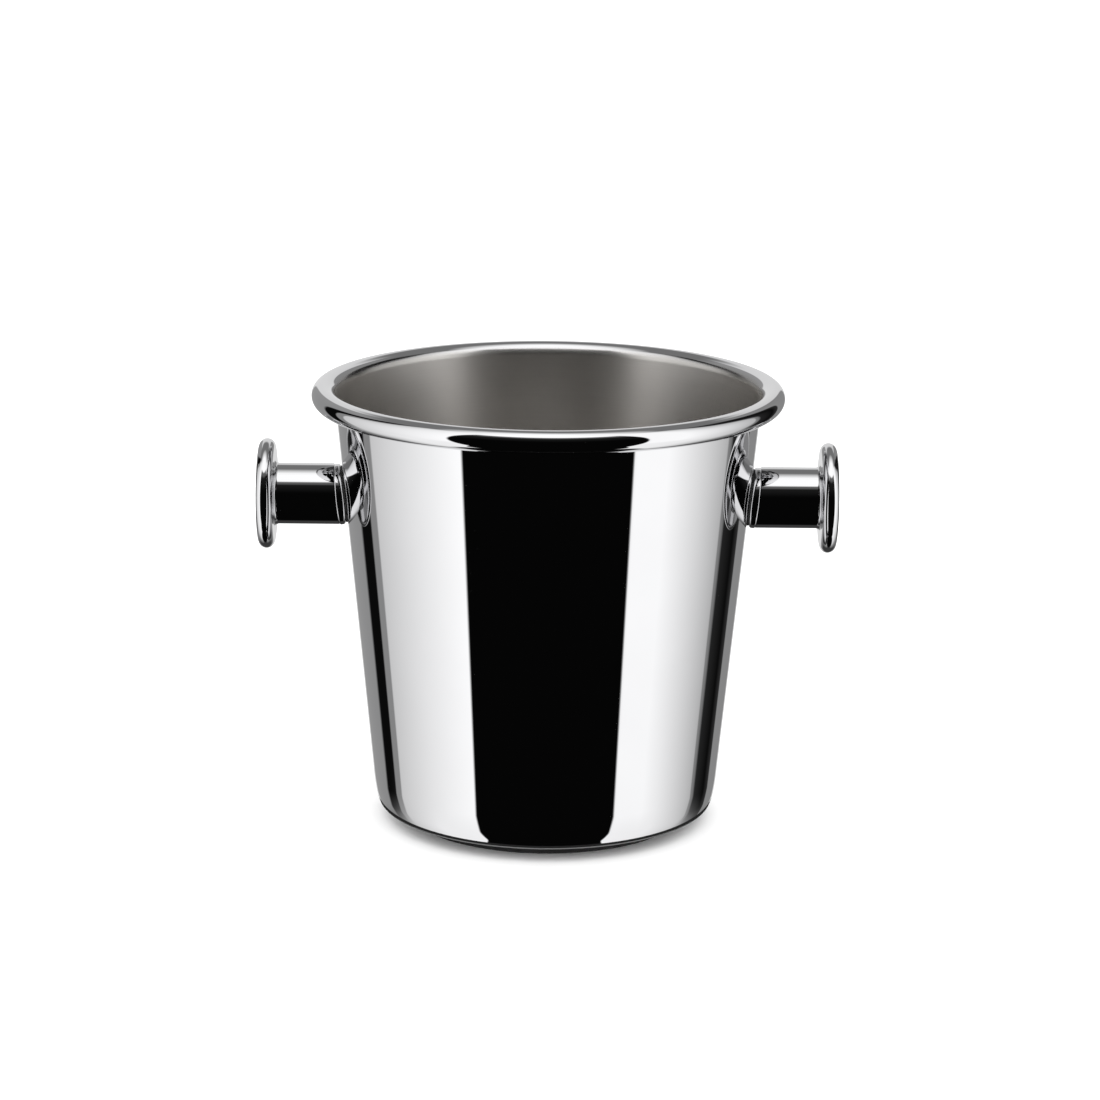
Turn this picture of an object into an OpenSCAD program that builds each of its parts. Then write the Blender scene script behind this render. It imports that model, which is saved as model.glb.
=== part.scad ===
// Champagne bucket: a drawn steel shell with a rolled rim, a foot ring with a rubber pad,
// and two hollow spool knobs, each held by one screw put in from inside the bucket.
// Millimetres. +Z is up, the pad rests on z = 0, the bucket axis is Z and the knobs point along X.

/* [Bucket] */
// Height from the table to the top of the rim
bucket_h = 193.5; // [160:0.1:240]
// Outer diameter of the wall, carried up to the top of the rim
mouth_d = 186; // [160:1:230]
// Outer diameter of the wall, carried down to the table
base_d = 147.9; // [120:0.1:180]
// Thickness of the drawn sheet
shell_t = 1.0; // [0.6:0.1:1.6]
// Radius of the inside flare, from the wall to the top of the rim
flare_r = 6.1; // [4:0.1:12]
// Outer radius of the rolled bead
bead_r = 4.9; // [3:0.1:8]
// How far the curl runs round below the horizontal, in degrees
curl_end = 150; // [100:1:160]
// Radius of the slight easing that starts the foot's curve
ease_r = 99; // [60:1:200]
// Turn taken up by the easing, in degrees
ease_turn = 4.3; // [2:0.1:8]
// Radius of the sweep that follows the easing
sweep_r = 28.5; // [10:0.5:50]
// Turn taken up by the sweep, in degrees
sweep_turn = 10.8; // [5:0.1:30]
// Radius of the tight corner between the sweep and the floor
corner_r = 2.7; // [2:0.1:8]

/* [Foot] */
// Step from the base diameter in to the edge of the rubber pad
foot_inset = 12.95; // [8:0.05:25]
// Height of the floor's underside above the table
foot_h = 5.5; // [3:0.1:10]
// Width of the pad's ring
pad_w = 6; // [4:0.1:10]
// Rubber left under the leg of the foot ring
pad_bed = 1.2; // [0.8:0.1:2]
// Thickness of the foot ring's sheet
ring_t = 1.0; // [0.6:0.1:1.5]
// Width of the foot ring's flange under the floor
ring_flange = 9; // [5:0.5:14]

/* [Knob] */
// Height of the knob axis above the table
knob_z = 143.6; // [80:0.1:165]
// Length of the knob along its axis, from the wall to the middle of the disc's face
knob_l = 38; // [30:0.5:60]
// Diameter of the disc
disc_d = 48; // [36:0.5:60]
// Radius of the disc's rounded edge, half of its thickness
disc_edge_r = 3.5; // [2.5:0.1:5]
// Height of the crown on the disc's face
disc_crown = 0.5; // [0.3:0.1:2]
// Radius of the cove between the disc and the stem
cove_r = 2; // [1.2:0.1:4]
// Length of the disc's neck behind its back face
neck_l = 2.6; // [2.2:0.1:6]
// Diameter of the stem
stem_d = 26.7; // [20:0.1:34]
// Sheet thickness of the disc, the neck and the stem
knob_t = 1.0; // [0.6:0.1:1.5]

/* [Root collar] */
// Thickness of the collar at its middle
collar_w = 2.9; // [2.6:0.1:6]
// Rounding of the collar's edge at the wall
collar_round = 1.4; // [0.5:0.1:1.4]
// Rounding of the collar's edge at the stem
collar_ease = 0.8; // [0.2:0.1:1.2]
// Length of the spigot that centres the stem
spigot_l = 1.5; // [1:0.1:3]
// Thickness of the gasket between collar and wall
gasket_t = 0.7; // [0.5:0.1:1.5]
// Step from the collar's edge in to the gasket's edge
gasket_inset = 0.9; // [0.5:0.1:2]

/* [Fixing] */
// Nominal diameter of the screw
screw_d = 6; // [5:1:8]
// Length of the screw under its head
screw_l = 20; // [16:1:30]
// Diameter of the screw's button head
head_d = 10.5; // [9:0.1:14]
// Height of the screw's button head
head_h = 3.3; // [2.5:0.1:4]
// Hexagon socket of the screw, across flats
socket_af = 4; // [3:0.5:5]
// Depth of the socket
socket_depth = 2.1; // [1.5:0.1:2.4]
// Diameter of the saddle washer
washer_d = 20; // [16:0.5:26]
// Thickness of the saddle washer at the screw
washer_t = 2.6; // [2:0.1:4]
// Diameter of the inner seal
seal_d = 18; // [14:0.5:24]
// Thickness of the inner seal
seal_t = 1.0; // [0.5:0.1:2]
// Length of the tapped plug inside the stem
plug_l = 12; // [10:0.5:18]
// Gap between the collar's middle and the plug
plug_gap = 3.2; // [3:0.1:5]
// Metal left behind the plug's blind hole
plug_end = 2; // [1.5:0.5:4]

/* [Fits] */
// Radial clearance of the screw in the holes it passes
hole_clear = 0.3; // [0.2:0.05:0.6]
// Radial clearance of the screw in the plug, in place of a thread
thread_clear = 0.05; // [0.02:0.01:0.1]
// Radial clearance of the spigot in the stem
spigot_clear = 0.1; // [0.05:0.05:0.3]
// Clearance of the foot ring's leg in the pad's groove, each side
pad_clear = 0.1; // [0.05:0.05:0.2]

/* [Hidden] */
$fn = 96;

steel = [0.80, 0.80, 0.81];
satin = [0.55, 0.55, 0.54];
black = [0.05, 0.05, 0.05];

mouth_r = mouth_d / 2;
base_r = base_d / 2;
// Angle of the wall from the vertical, and its outer radius at a height
wall_a = atan((mouth_r - base_r) / bucket_h);
function wall_r(z) = base_r + z * tan(wall_a);

// Centres of the rim's flare and bead: both arcs meet at the top of the rim
flare_z = bucket_h - flare_r;
rim_r = wall_r(flare_z) + (flare_r - shell_t) / cos(wall_a);
bead_z = bucket_h - bead_r;

// Centres of the tight corner, the sweep and the easing, each tangent to the next, the corner
// to the floor as well and the easing to the wall
ease_a = wall_a + ease_turn;
turn_a = ease_a + sweep_turn;
corner_z = foot_h + corner_r;
sweep_z = corner_z + (sweep_r - corner_r) * sin(turn_a);
ease_z = sweep_z + (ease_r - sweep_r) * sin(ease_a);
ease_c = wall_r(ease_z - ease_r * sin(wall_a)) - ease_r * cos(wall_a);
sweep_c = ease_c + (ease_r - sweep_r) * cos(ease_a);
corner_c = sweep_c + (sweep_r - corner_r) * cos(turn_a);

// Places along the knob axis, from the bucket axis outwards
disc_r = disc_d / 2;
stem_r = stem_d / 2;
wall_x = wall_r(knob_z);
collar_x = wall_x + (gasket_t + collar_w) / cos(wall_a);
plug_x = collar_x + plug_gap;
disc_x = wall_x + knob_l - disc_crown - disc_edge_r;
back_x = disc_x - disc_edge_r;
neck_x = back_x - neck_l;
head_x = wall_x - (shell_t + seal_t) / cos(wall_a) - washer_t;

// The disc's face is a shallow dome, tangent to the rounded edge
edge_c = disc_r - disc_edge_r;
dome_r = disc_edge_r + (edge_c * edge_c + disc_crown * disc_crown) / (2 * disc_crown);

screw_r = screw_d / 2;
bolt_hole_r = screw_r + hole_clear;

far = 2 * bucket_h;
cut = 1;

// Foot ring: its leg stands in the middle of the pad
pad_or = base_r - foot_inset;
pad_ir = pad_or - pad_w;
leg_or = (pad_or + pad_ir + ring_t) / 2;
leg_ir = leg_or - ring_t;

// ---- plane shapes ----

// Pie slice between two angles, long enough to reach past radius r
module slice(r, from, to) {
    steps = ceil(abs(to - from) / 45);
    polygon(concat([[0, 0]],
        [for (i = [0:steps]) let (a = from + (to - from) * i / steps) 1.5 * r * [cos(a), sin(a)]]));
}

// Part of a ring of sheet with outer radius r and thickness t
module bent_strip(r, t, from, to) {
    intersection() {
        difference() {
            circle(r);
            circle(r - t);
        }
        slice(r, from, to);
    }
}

// Filled part of a circle between two angles, cut off at the bucket's axis
module filled_arc(centre, r, from, to) {
    translate(centre) intersection() {
        circle(r);
        slice(r, from, to);
        translate([-centre[0], -r]) square([centre[0] + r, 2 * r]);
    }
}

// Everything inside the bucket's outer surface, moved in by "inset"; its top edge runs square
// to the wall through the flare's centre, raised along the wall by "over". The polygon has the
// ends of the foot's arcs as corners, and the filled arcs lie over it.
module body_section(inset, over) {
    corner_in = corner_r - inset;
    sweep_in = sweep_r - inset;
    ease_in = ease_r - inset;
    flare_in = flare_r - shell_t + inset;
    top = [rim_r - flare_in * cos(wall_a), flare_z + flare_in * sin(wall_a)];
    polygon([[0, foot_h + inset], [corner_c, foot_h + inset], [corner_c, corner_z],
        [corner_c, corner_z] + corner_in * [cos(turn_a), -sin(turn_a)],
        [sweep_c, sweep_z] + sweep_in * [cos(ease_a), -sin(ease_a)],
        [ease_c, ease_z] + ease_in * [cos(wall_a), -sin(wall_a)],
        top + over * [sin(wall_a), cos(wall_a)],
        [0, flare_z + rim_r * tan(wall_a) + over / cos(wall_a)]]);
    translate([corner_c, corner_z]) circle(corner_in);
    filled_arc([sweep_c, sweep_z], sweep_in, -turn_a, -ease_a);
    filled_arc([ease_c, ease_z], ease_in, -ease_a, -wall_a);
}

// Short key inside the sheet, so that two runs of it that meet end to end are one piece; "at" is
// on the joint in the middle of the sheet, and the sheet runs at angle "a" there
module sheet_key(at, a) {
    translate(at) rotate(a) square([0.4 * shell_t, 0.96 * shell_t], center = true);
}

module shell_section() {
    mid = flare_r - shell_t / 2;
    difference() {
        body_section(0, 0);
        body_section(shell_t, cut);
    }
    translate([rim_r, flare_z]) bent_strip(flare_r, shell_t, 90, 180 - wall_a);
    translate([rim_r, bead_z]) bent_strip(bead_r, shell_t, 90, -curl_end);
    sheet_key([rim_r, flare_z] + mid * [-cos(wall_a), sin(wall_a)], 90 - wall_a);
    sheet_key([rim_r, flare_z + mid], 0);
}

// Half of the disc on the face side, moved in by "inset": a dome that runs into the round edge
module face_section(inset) {
    reach = (dome_r - disc_edge_r);
    out = 2 * disc_r * [edge_c, reach - disc_crown] / reach;
    intersection() {
        translate([0, disc_edge_r + disc_crown - dome_r]) circle(dome_r - inset, $fn = 720);
        polygon([[0, 0], [edge_c, 0], [edge_c, 0] + out, [0, out[1]]]);
    }
    intersection() {
        translate([edge_c, 0]) circle(disc_edge_r - inset);
        square([disc_r, disc_edge_r]);
    }
}

// Half of the disc on the stem side, with the cove and the neck, moved in by "inset"
module back_section(inset) {
    cove_c = stem_r + cove_r;
    back = disc_edge_r - inset;
    intersection() {
        translate([edge_c, 0]) circle(back);
        translate([0, -disc_edge_r]) square([disc_r, disc_edge_r]);
    }
    translate([0, -back]) square([edge_c, back]);
    difference() {
        translate([0, -disc_edge_r - cove_r]) square([cove_c, disc_edge_r + cove_r - inset]);
        translate([cove_c, -disc_edge_r - cove_r]) circle(cove_r + inset);
    }
    translate([0, -disc_edge_r - neck_l]) square([stem_r - inset, neck_l + disc_edge_r - inset]);
}

// Ring section of the collar from its stem side (y = 0) towards the wall, eased at the stem
module collar_section(depth) {
    difference() {
        translate([0, -depth]) square([stem_r, depth]);
        translate([stem_r - collar_ease, -collar_ease]) square(collar_ease + cut);
    }
    translate([stem_r - collar_ease, -collar_ease]) circle(collar_ease);
}

// ---- places ----

// Turns a piece drawn for the right-hand knob to either side
module on_side(side) {
    rotate([0, 0, side < 0 ? 180 : 0]) children();
}

// Local z runs outwards along the knob axis, and z = 0 lies on the bucket axis
module along_knob() {
    translate([0, 0, knob_z]) rotate([0, 90, 0]) children();
}

// Local z runs square to the wall, and z = 0 lies on the wall's outer face at the knob axis
module square_to_wall() {
    translate([wall_x, 0, knob_z]) rotate([0, 90 + wall_a, 0]) children();
}

// Everything inside the wall's outer face, moved out by "out"
module wall_cone(out) {
    cylinder(h = bucket_h, r1 = base_r + out / cos(wall_a), r2 = mouth_r + out / cos(wall_a), $fn = 240);
}

// Hole for the screw, from the bucket axis outwards
module screw_hole() {
    along_knob() cylinder(h = far, r = bolt_hole_r);
}

// ---- bucket ----

// Drawn shell: floor, wall and rolled rim in one sheet, with one screw hole for each knob
module bucket_shell() {
    color(steel) difference() {
        rotate_extrude($fn = 240) shell_section();
        for (side = [-1, 1]) on_side(side) screw_hole();
    }
}

// Foot ring: flange under the floor and a leg that the pad is pushed over
module foot_ring() {
    color(satin) rotate_extrude($fn = 180) {
        translate([leg_or - ring_flange, foot_h - ring_t]) square([ring_flange, ring_t]);
        translate([leg_ir, pad_bed]) square([ring_t, foot_h - pad_bed]);
    }
}

// Rubber pad: a ring with a groove for the foot ring's leg, eased at its outer lower edge
module foot_pad() {
    pad_top = foot_h - ring_t - pad_clear;
    ease = pad_bed / 2;
    color(black) rotate_extrude($fn = 180) difference() {
        union() {
            translate([pad_ir, 0]) square([pad_w - ease, pad_top]);
            translate([pad_or - ease, ease]) circle(ease);
            translate([pad_or - ease, ease]) square([ease, pad_top - ease]);
            translate([leg_or + pad_clear, ease]) square([pad_or - leg_or - pad_clear, foot_h - ease]);
        }
        translate([leg_ir - pad_clear, pad_bed]) square([ring_t + 2 * pad_clear, foot_h]);
    }
}

// ---- knob, drawn on the right ----

// Outer shell of the disc, joined to the back shell round the middle of the edge
module disc_face() {
    color(steel) along_knob() translate([0, 0, disc_x]) rotate_extrude($fn = 180) difference() {
        face_section(0);
        face_section(knob_t);
    }
}

// Inner shell of the disc, drawn down through the cove into a short neck
module disc_back() {
    color(steel) along_knob() translate([0, 0, disc_x]) rotate_extrude($fn = 180) difference() {
        back_section(0);
        back_section(knob_t);
    }
}

// Tube between the neck and the collar, with its inner end cut parallel to the wall
module stem_tube() {
    color(steel) difference() {
        along_knob() translate([0, 0, wall_x]) difference() {
            cylinder(h = neck_x - wall_x, r = stem_r);
            translate([0, 0, -cut]) cylinder(h = neck_x - wall_x + 2 * cut, r = stem_r - knob_t);
        }
        square_to_wall() translate([0, 0, gasket_t + collar_w - far]) cylinder(h = far, r = 2 * stem_r);
    }
}

// Collar: a turned ring on the wall, with a spigot that centres the stem
module root_collar() {
    // the collar is drawn deep enough to reach the wall all round before it is cut to the wall
    depth = collar_w + gasket_t + wall_x - sqrt(wall_x * wall_x - stem_r * stem_r);
    color(steel) difference() {
        union() {
            square_to_wall() translate([0, 0, gasket_t + collar_w]) rotate_extrude($fn = 180)
                collar_section(depth);
            along_knob() translate([0, 0, collar_x - collar_w / 2])
                cylinder(h = spigot_l + collar_w / 2, r = stem_r - knob_t - spigot_clear);
        }
        wall_cone(gasket_t);
        screw_hole();
        square_to_wall() wall_edge_round();
    }
}

// What is cut from the collar's edge at the wall to leave it rounded
module wall_edge_round() {
    r = collar_round;
    rotate_extrude($fn = 180) difference() {
        translate([stem_r - r, -cut]) square([r + cut, r + cut + gasket_t]);
        translate([stem_r - r, gasket_t + r]) circle(r);
    }
}

// Gasket: a thin rubber ring that follows the wall
module gasket() {
    color(black) difference() {
        square_to_wall() translate([0, 0, -stem_r]) cylinder(h = 2 * stem_r, r = stem_r - gasket_inset);
        difference() {
            translate([0, 0, -cut]) cylinder(h = bucket_h + 2 * cut, r = far);
            wall_cone(gasket_t);
        }
        wall_cone(0);
        screw_hole();
    }
}

// Plug brazed inside the stem, with a blind hole for the screw
module anchor_plug() {
    color(satin) along_knob() translate([0, 0, plug_x]) difference() {
        cylinder(h = plug_l, r = stem_r - knob_t);
        translate([0, 0, -cut]) cylinder(h = plug_l - plug_end + cut, r = screw_r + thread_clear);
    }
}

// Button-head screw with a hexagon socket, put in from inside the bucket
module fixing_screw() {
    dome = (head_d * head_d / 4 + head_h * head_h) / (2 * head_h);
    color(steel) along_knob() translate([0, 0, head_x]) {
        difference() {
            rotate_extrude() intersection() {
                translate([0, dome - head_h]) circle(dome);
                translate([0, -head_h]) square([head_d / 2, head_h]);
            }
            translate([0, 0, -head_h - cut])
                cylinder(h = socket_depth + cut, r = socket_af / 2 / cos(30), $fn = 6);
        }
        translate([0, 0, -cut / 2]) cylinder(h = screw_l + cut / 2, r = screw_r);
    }
}

// Washer with a flat side for the screw and a side that follows the inside of the wall
module saddle_washer() {
    color(steel) difference() {
        intersection() {
            along_knob() translate([0, 0, head_x]) cylinder(h = washer_d, r = washer_d / 2);
            wall_cone(-shell_t - seal_t);
        }
        screw_hole();
    }
}

// Rubber seal between the saddle washer and the inside of the wall
module inner_seal() {
    color(black) difference() {
        intersection() {
            along_knob() translate([0, 0, head_x]) cylinder(h = washer_d, r = seal_d / 2);
            wall_cone(-shell_t);
        }
        wall_cone(-shell_t - seal_t);
        screw_hole();
    }
}

// ---- the assembly ----

bucket_shell();
foot_ring();
foot_pad();

on_side(1) disc_face();  // right_disc_face
on_side(1) disc_back();  // right_disc_back
on_side(1) stem_tube();  // right_stem_tube
on_side(1) root_collar();  // right_root_collar
on_side(1) gasket();  // right_gasket
on_side(1) anchor_plug();  // right_anchor_plug
on_side(1) fixing_screw();  // right_fixing_screw
on_side(1) saddle_washer();  // right_saddle_washer
on_side(1) inner_seal();  // right_inner_seal

on_side(-1) disc_face();  // left_disc_face
on_side(-1) disc_back();  // left_disc_back
on_side(-1) stem_tube();  // left_stem_tube
on_side(-1) root_collar();  // left_root_collar
on_side(-1) gasket();  // left_gasket
on_side(-1) anchor_plug();  // left_anchor_plug
on_side(-1) fixing_screw();  // left_fixing_screw
on_side(-1) saddle_washer();  // left_saddle_washer
on_side(-1) inner_seal();  // left_inner_seal
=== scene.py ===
"""Champagne bucket: the polished shell, the foot, the two spool knobs, their fixings and the studio.

Every length is in metres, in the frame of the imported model: +Z is up, the foot pad rests on z = 0,
the bucket's axis is Z and the two knobs point along X.
"""
from math import asin, atan, atan2, cos, pi, radians, sin, sqrt, tan

import bpy
import numpy as np
from bpy.props import FloatProperty, FloatVectorProperty, PointerProperty
from mathutils import Matrix, Vector


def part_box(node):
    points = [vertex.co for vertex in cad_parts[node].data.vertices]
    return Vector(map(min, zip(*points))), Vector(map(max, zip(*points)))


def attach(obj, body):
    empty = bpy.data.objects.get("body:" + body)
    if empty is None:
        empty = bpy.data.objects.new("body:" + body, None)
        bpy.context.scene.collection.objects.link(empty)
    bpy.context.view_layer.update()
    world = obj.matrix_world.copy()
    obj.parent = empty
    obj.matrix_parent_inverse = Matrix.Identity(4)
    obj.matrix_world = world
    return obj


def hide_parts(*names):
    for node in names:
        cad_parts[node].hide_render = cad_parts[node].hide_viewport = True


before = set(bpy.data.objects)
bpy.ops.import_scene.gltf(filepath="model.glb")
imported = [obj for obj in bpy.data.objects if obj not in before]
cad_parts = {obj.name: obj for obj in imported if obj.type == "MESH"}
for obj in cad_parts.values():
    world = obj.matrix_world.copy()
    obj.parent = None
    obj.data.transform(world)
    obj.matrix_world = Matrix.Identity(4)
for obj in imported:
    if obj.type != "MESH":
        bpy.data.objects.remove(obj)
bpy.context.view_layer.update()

bl_info = {
    "name": "Champagne Bucket",
    "version": (1, 0, 0),
    "blender": (4, 5, 0),
    "location": "View3D > Sidebar > Bucket",
    "description": "Makes a mirror-polished champagne bucket with two spool knobs",
    "category": "Add Mesh",
}

SHELL_LO, SHELL_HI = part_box("bucket_shell")
PAD_LO, PAD_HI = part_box("foot_pad")
FACE_LO, FACE_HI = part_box("right_disc_face")
BACK_LO, BACK_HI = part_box("right_disc_back")
STEM_LO, STEM_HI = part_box("right_stem_tube")
SCREW_LO, SCREW_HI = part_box("right_fixing_screw")

KNOB_Z = (FACE_LO.z + FACE_HI.z) / 2
HEAD_H = 0.0033
SIDES = (("right", 1), ("left", -1))

# Steps round each kind of piece
SHELL_STEPS = 320
PAD_STEPS = 288
DISC_STEPS = 288
STEM_STEPS = 240
GASKET_STEPS = 192
WASHER_STEPS = 144
SCREW_STEPS = 96
FLOOR_STEPS = 96

# Edges sharper than this, in degrees, are shaded as edges
CREASE = 35.0

# Share of the light that polished steel returns
STEEL_RETURNS = 0.8


def size(name, default, about):
    """A length in metres that a user may change."""
    return FloatProperty(name=name, default=default, description=about, unit="LENGTH", precision=5, min=0)


def angle(name, default, about):
    """An angle, given here in degrees."""
    return FloatProperty(name=name, default=radians(default), description=about, subtype="ANGLE")


def tint(name, default, about):
    """A colour in linear red, green and blue."""
    return FloatVectorProperty(name=name, default=default, description=about, subtype="COLOR", min=0, max=1)


def share(name, default, about):
    """A number from 0 to 1."""
    return FloatProperty(name=name, default=default, description=about, subtype="FACTOR", min=0, max=1)


class ShellSizes(bpy.types.PropertyGroup):
    height: size("Height", SHELL_HI.z, "Top of the rim above the table")
    mouth_d: size("Mouth diameter", 0.186, "Outside of the wall, carried up to the top of the rim")
    base_d: size("Base diameter", 0.1479, "Outside of the wall, carried down to the table")
    sheet: size("Sheet", 0.001, "Thickness of the drawn sheet")
    flare_r: size("Flare radius", 0.0061, "Inside flare from the wall to the top of the rim")
    bead_r: size("Bead radius", 0.0049, "Outside of the rolled bead")
    curl_end: angle("Curl end", 150, "How far the curl runs round below the horizontal")
    ease_r: size("Ease radius", 0.099, "Slow curve that leads the wall into the sweep")
    ease_turn: angle("Ease turn", 4.3, "Turn taken up by the slow curve")
    sweep_r: size("Sweep radius", 0.0285, "Sweep at the foot of the wall")
    sweep_turn: angle("Sweep turn", 10.8, "Turn taken up by the sweep")
    corner_r: size("Corner radius", 0.0027, "Tight corner between the sweep and the floor")
    satin_z: size("Satin line", 0.1908, "Height where the satin inside is half way to the polished rim")
    satin_fade: size("Satin fade", 0.0028, "Height over which the satin fades out")


class FootSizes(bpy.types.PropertyGroup):
    height: size("Height", SHELL_LO.z, "Underside of the bucket's floor above the table")
    outer_r: size("Outer radius", PAD_HI.x, "Outer edge of the rubber pad")
    width: size("Width", 0.006, "Width of the pad's ring")
    bed: size("Bed", 0.0012, "Rubber left under the leg of the foot ring")
    groove: size("Groove", 0.0012, "Width of the groove for the foot ring's leg")
    step: size("Step", 0.0011, "Height of the pad's outer lip above its inner part")


class KnobSizes(bpy.types.PropertyGroup):
    axis_z: size("Axis height", KNOB_Z, "Height of the knob's axis above the table")
    face_x: size("Face", FACE_HI.x, "Middle of the disc's face, from the bucket's axis")
    disc_r: size("Disc radius", (FACE_HI.z - FACE_LO.z) / 2, "Outside of the disc")
    edge_r: size("Disc edge radius", 0.0035, "Rounded edge of the disc, half of its thickness")
    crown: size("Crown", 0.0005, "Height of the crown on the disc's face")
    cove_r: size("Cove radius", 0.002, "Cove between the disc and the stem")
    neck_x: size("Neck end", BACK_LO.x, "Where the disc's neck meets the stem, from the bucket's axis")
    stem_r: size("Stem radius", (STEM_HI.z - STEM_LO.z) / 2, "Outside of the stem")
    sheet: size("Sheet", 0.001, "Thickness of the disc's shells and the stem")
    collar: size("Collar", 0.0029, "Thickness of the collar at its middle")
    collar_round: size("Collar round", 0.0014, "Rounding of the collar's edge at the wall")
    collar_ease: size("Collar ease", 0.0008, "Rounding of the collar's edge at the stem")
    spigot: size("Spigot", 0.0015, "Length of the spigot that centres the stem")
    spigot_gap: size("Spigot gap", 0.00025, "Clearance between the spigot and the inside of the stem")
    gasket: size("Gasket", 0.0007, "Thickness of the gasket between collar and wall")
    gasket_inset: size("Gasket inset", 0.0009, "Step from the collar's edge in to the gasket's edge")


class FixingSizes(bpy.types.PropertyGroup):
    seat_x: size("Head seat", SCREW_LO.x + HEAD_H, "Flat side of the saddle washer, from the bucket's axis")
    tip_x: size("Screw tip", SCREW_HI.x, "End of the screw, from the bucket's axis")
    screw_r: size("Screw radius", 0.003, "Nominal radius of the screw")
    hole_r: size("Hole radius", 0.0033, "Radius of the holes that the screw passes")
    head_r: size("Head radius", 0.00525, "Radius of the button head")
    head_h: size("Head height", HEAD_H, "Height of the button head")
    socket_af: size("Socket", 0.004, "Hexagon socket across flats")
    socket_depth: size("Socket depth", 0.0021, "Depth of the hexagon socket")
    washer_r: size("Washer radius", 0.010, "Outside of the saddle washer")
    seal_r: size("Seal radius", 0.009, "Outside of the inner seal")
    seal: size("Seal", 0.001, "Thickness of the inner seal")
    washer_ease: size("Washer ease", 0.0003, "Rounding of the saddle washer's edge")
    socket_lip: size("Socket lip", 0.00015, "Width of the bevel round the socket's corners")
    socket_ease: size("Socket ease", 0.00018, "Depth of that bevel")
    tip_bevel: size("Tip bevel", 0.0006, "Bevel at the screw's tip")


class Finishes(bpy.types.PropertyGroup):
    steel: tint("Polished steel", (0.80, 0.80, 0.81), "Mirror-polished stainless steel")
    inside: tint("Satin inside", (0.68, 0.66, 0.635), "Satin stainless steel inside the bucket")
    turned: tint("Turned steel", (0.66, 0.66, 0.66), "Screws and washers")
    plain: tint("Plain steel", (0.55, 0.55, 0.54), "Mill-finish steel out of sight")
    # near black, darker than rubber's own black, so that the foot pad also carries painted shade for the
    # shadow under the shell
    rubber: tint("Rubber", (0.0025, 0.0025, 0.0025), "Foot pad, gaskets and seals")


class StudioSettings(bpy.types.PropertyGroup):
    aim: FloatVectorProperty(name="Aim", default=(0.0013, 0.0, 0.119126), subtype="TRANSLATION", precision=5,
                             description="Point that the camera looks at")
    distance: size("Distance", 1.61536, "Camera to the point that it looks at")
    elevation: angle("Elevation", 14.031, "How far the camera looks down")
    roll: angle("Roll", 0.512, "Turn of the camera about its own axis")
    lens: FloatProperty(name="Lens", default=120.93, description="Focal length in mm, on a 36 mm sensor")
    floor_r: size("Floor radius", 6.0, "Radius of the pale floor")
    close_r: size("Close floor radius", 0.0785, "Radius of the floor that the shell's corner sees")
    close_z: size("Close floor height", 0.00005, "Height of that floor above the other")
    # that floor's dark edge is a painted shadow
    painted_shadow_r: size("Shade radius", 0.0728, "Radius where that floor's dark edge begins")
    fill: FloatProperty(name="Fill", default=1.95, description="Even light on matt surfaces and the floor")


class BucketSettings(bpy.types.PropertyGroup):
    shell: PointerProperty(type=ShellSizes, name="Shell", description="Sizes of the drawn shell")
    foot: PointerProperty(type=FootSizes, name="Foot", description="Sizes of the foot pad")
    knob: PointerProperty(type=KnobSizes, name="Knob", description="Sizes of the spool knobs")
    fixing: PointerProperty(type=FixingSizes, name="Fixing", description="Sizes of screws and their rings")
    finish: PointerProperty(type=Finishes, name="Finishes", description="Colours of metals and rubber")
    studio: PointerProperty(type=StudioSettings, name="Studio", description="Camera, floor and light")


# ---- profiles: plain arrays of (radius, height) ----

def arc(centre, radius, start, end, step=4.0):
    """Points centre + radius (cos a, sin a) for a from start to end, in degrees, no more than step apart."""
    count = max(2, int(np.ceil(abs(end - start) / step)) + 1)
    a = np.radians(np.linspace(start, end, count))
    return np.stack([centre[0] + radius * np.cos(a), centre[1] + radius * np.sin(a)], 1)


def line(start, end, parts=1, near=0.00004):
    """Points start + f (end - start), evenly spaced, with one more close to each end.

    The close ones keep a rounded neighbour from bending the shading of the flat stretch.
    """
    start, end = np.array(start, float), np.array(end, float)
    edge = min(near / max(np.linalg.norm(end - start), 1e-9), 0.2)
    f = np.concatenate([[0.0, edge], np.linspace(0, 1, parts + 1)[1:-1], [1 - edge, 1.0]])
    return start + f[:, None] * (end - start)


def join(*strokes):
    """One profile from several strokes, with points that fall on their neighbour dropped."""
    points = np.concatenate(strokes)
    keep = np.ones(len(points), bool)
    keep[1:] = np.linalg.norm(np.diff(points, axis=0), axis=1) > 1e-8
    return points[keep]


# ---- grids: arrays of rows x steps x (x, y, z) ----

def turns(steps):
    """The angles of one full turn, as a row."""
    return np.arange(steps) * (2 * pi / steps)


def spin_up(profile, steps):
    """Profile (r, h) carried round Z: (r cos t, r sin t, h)."""
    t = turns(steps)
    r, h = profile[:, :1], profile[:, 1:2]
    return np.stack([r * np.cos(t), r * np.sin(t), h + 0 * t], 2)


def spin_out(radius, steps, foot, axis):
    """Rings of the given radii square to an axis that lies in the XZ plane, all at its foot.

    With u square to the axis and upwards in that plane: foot + r (cos t u + sin t Y).
    """
    t = turns(steps)
    r = np.asarray(radius, float)[:, None]
    up = np.array([-axis[2], 0.0, axis[0]])
    ring = np.cos(t)[:, None] * up + np.sin(t)[:, None] * np.array([0.0, 1.0, 0.0])
    return np.asarray(foot, float) + r[:, :, None] * ring[None]


def wall_of(shell):
    """Slope angle of the wall, and its outer radius carried down to the table."""
    return atan((shell.mouth_d - shell.base_d) / 2 / shell.height), shell.base_d / 2


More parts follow.
